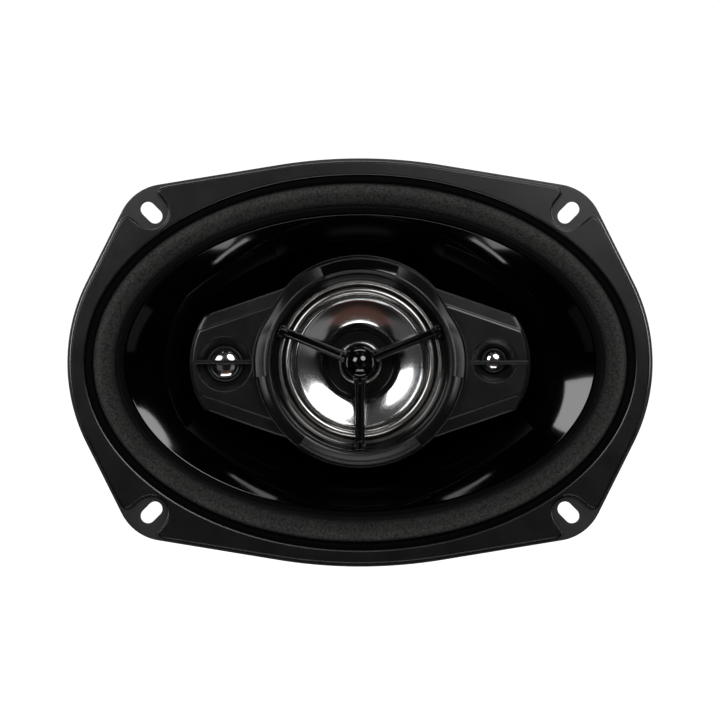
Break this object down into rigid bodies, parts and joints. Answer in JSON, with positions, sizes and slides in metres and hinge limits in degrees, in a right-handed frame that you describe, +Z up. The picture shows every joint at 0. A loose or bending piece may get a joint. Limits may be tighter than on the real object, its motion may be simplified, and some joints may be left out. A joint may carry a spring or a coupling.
{
  "type": "coaxial car speaker",
  "caption": "Oval coaxial car speaker with a mid-range driver and tweeters on a bridge over the woofer cone, slotted ears and a steel basket.",
  "frame": {"origin": "centre of the mounting flange's rear face", "axes": "+X along the long axis, +Y out of the back towards the magnet, +Z up"},
  "size_m": [0.2348, 0.094, 0.1638],
  "materials": {
    "pressed_steel": "black electrophoretic paint, fine satin",
    "gasket": "moulded, fine satin grain",
    "foam": "matte pebbled foam",
    "cone": "high-gloss black",
    "former": "amber film",
    "winding": "enamelled copper wire",
    "spider_cloth": "resin-dipped woven cloth",
    "plated_steel": "zinc plated",
    "dark_steel": "blackened",
    "ferrite": "sintered ceramic ferrite, matte",
    "small_magnet": "nickel plated",
    "board": "phenolic paper board",
    "tinned_brass": "tinned",
    "braid": "braided tinsel wire",
    "bridge_plastic": "satin moulded",
    "gloss_black": "polished black",
    "trim_plastic": "fine satin",
    "lead_insulation": "soft vinyl",
    "capacitor": "shrink sleeve",
    "metallised_film": "metallised film, mirror",
    "chrome_ring": "polished"
  },
  "bodies": {
    "frame": {"basket": "pressed_steel", "trim_gasket": "gasket", "surround": "foam", "spider": "spider_cloth", "front_plate": "plated_steel", "magnet": "ferrite", "yoke": "plated_steel", "plate_rivets": "plated_steel", "terminal_board": "board", "positive_terminal": "tinned_brass", "negative_terminal": "tinned_brass", "terminal_rivets": "tinned_brass", "tinsel_leads": "braid", "bridge_post": "bridge_plastic", "bridge_base": "bridge_plastic", "bridge_housing": "bridge_plastic", "badge_plate": "gloss_black", "lower_trim": "trim_plastic", "spoke_guard": "gloss_black", "bridge_leads": "lead_insulation", "crossover_capacitors": "capacitor", "mid_frame": "plated_steel", "mid_surround": "metallised_film", "mid_top_plate": "plated_steel", "mid_magnet": "ferrite", "mid_yoke": "dark_steel", "phase_plug": "gloss_black", "plug_ring": "chrome_ring", "tweeter_plate": "plated_steel", "tweeter_magnet": "small_magnet", "tweeter_pot": "dark_steel", "tweeter_ring": "trim_plastic", "super_tweeter_plate": "plated_steel", "super_tweeter_magnet": "small_magnet", "super_tweeter_pot": "dark_steel", "super_tweeter_ring": "trim_plastic"},
    "woofer": {"woofer_cone": "cone", "voice_coil_former": "former", "voice_coil": "winding"},
    "mid": {"mid_cone": "metallised_film", "mid_coil": "winding"},
    "tweeter": {"tweeter_dome": "metallised_film", "tweeter_coil": "winding"},
    "super_tweeter": {"super_tweeter_dome": "metallised_film", "super_tweeter_coil": "winding"}
  },
  "joints": [
    {"name": "woofer_stroke", "type": "slide", "parent": "frame", "child": "woofer", "axis": [0, -1, 0], "range_m": [-0.005, 0.005], "stiffness_N_per_m": 2500, "deforming": ["surround", "spider", "tinsel_leads"]},
    {"name": "mid_stroke", "type": "slide", "parent": "frame", "child": "mid", "axis": [0, -1, 0], "range_m": [-0.0008, 0.0008], "stiffness_N_per_m": 7000, "deforming": ["mid_surround"]},
    {"name": "tweeter_stroke", "type": "slide", "parent": "frame", "child": "tweeter", "axis": [0, -1, 0], "range_m": [-0.0003, 0.0003], "stiffness_N_per_m": 8000},
    {"name": "super_tweeter_stroke", "type": "slide", "parent": "frame", "child": "super_tweeter", "axis": [0, -1, 0], "range_m": [-0.0002, 0.0002], "stiffness_N_per_m": 8000}
  ]
}
